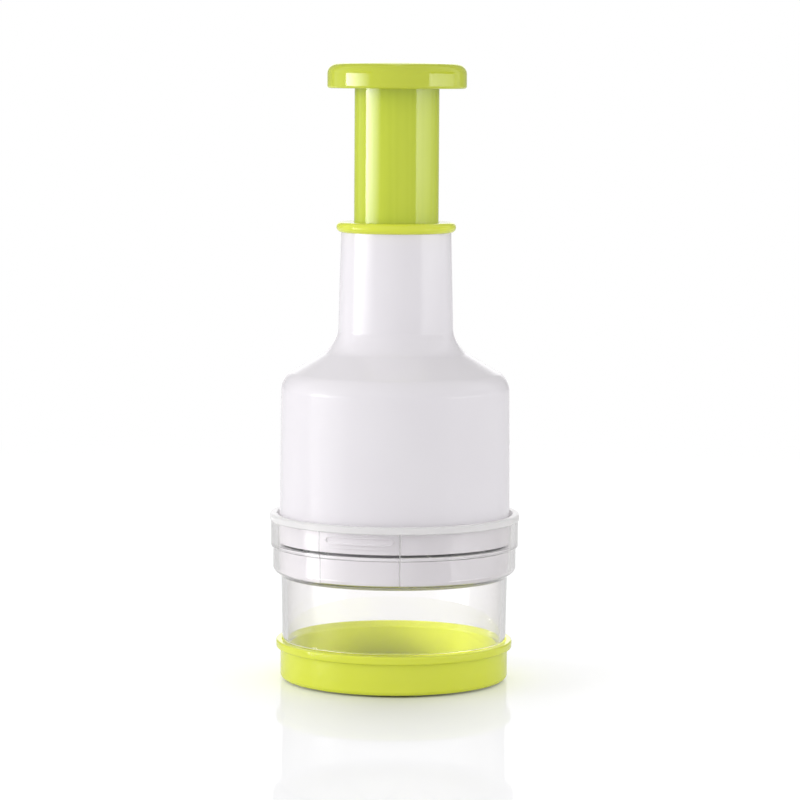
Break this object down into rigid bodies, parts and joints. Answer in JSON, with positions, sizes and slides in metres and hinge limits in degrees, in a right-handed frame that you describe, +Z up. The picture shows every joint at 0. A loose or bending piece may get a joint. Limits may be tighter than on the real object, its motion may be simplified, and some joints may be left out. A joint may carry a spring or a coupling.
{
  "type": "vegetable chopper",
  "caption": "Hand-press vegetable chopper: a clear cup on a green tray, a white bell housing, and a sprung green knob that drives a folded, turning blade down through the food.",
  "frame": {"origin": "middle of the tray's underside, on the surface that it stands on", "axes": "+Z up along the rod and plunger, -Y towards the pictured front, +X to that view's right"},
  "size_m": [0.1002, 0.1002, 0.2477],
  "materials": {
    "lime_plastic": "injection-moulded, glossy",
    "deep_lime_plastic": "injection-moulded, glossy",
    "white_plastic": "injection-moulded, glossy",
    "clear_plastic": "clear, injection-moulded",
    "grey_plastic": "moulded acetal",
    "steel": "plated or drawn",
    "blade_steel": "rolled stainless strip, ground edge"
  },
  "bodies": {
    "tray": {"base_tray": "lime_plastic"},
    "cup": {"clear_cup": "clear_plastic"},
    "housing": {"housing_shell": "white_plastic", "neck_ring": "lime_plastic", "guide_tower": "white_plastic", "tower_screws": "steel", "twist_nut": "grey_plastic", "nut_pins": "steel", "spring_seat": "steel", "guard_ring": "white_plastic", "wiper_retainer": "white_plastic", "return_spring": "steel"},
    "wiper": {"wiper_disc": "white_plastic"},
    "plunger": {"plunger_sleeve": "deep_lime_plastic", "knob_cap": "lime_plastic"},
    "blades": {"twist_rod": "steel", "rod_washer": "steel", "rod_screw": "steel", "carrier_hub": "grey_plastic", "carrier_plate": "grey_plastic", "carrier_screws": "steel", "cross_pin": "steel", "zigzag_blade": "blade_steel"}
  },
  "joints": [
    {"name": "cup_lift", "type": "slide", "parent": "tray", "child": "cup", "axis": [0, 0, 1], "range_m": [0, 0.03]},
    {"name": "housing_lift", "type": "slide", "parent": "cup", "child": "housing", "axis": [0, 0, 1], "range_m": [0, 0.04]},
    {"name": "plunger_press", "type": "slide", "parent": "housing", "child": "plunger", "axis": [0, 0, -1], "range_m": [0, 0.045], "stiffness_N_per_m": 350, "springref_m": -0.03, "deforming": ["return_spring"]},
    {"name": "blade_turn", "type": "hinge", "parent": "plunger", "child": "blades", "pos_m": [0, 0, 0.1], "axis": [0, 0, 1], "range_deg": [0, 60]},
    {"name": "wiper_turn", "type": "hinge", "parent": "housing", "child": "wiper", "pos_m": [0, 0, 0.0476], "axis": [0, 0, 1], "range_deg": [0, 60]}
  ],
  "couplings": [
    {"joint": "blade_turn", "follows": "plunger_press", "rad_per_m": 23.27},
    {"joint": "wiper_turn", "follows": "plunger_press", "rad_per_m": 23.27}
  ]
}
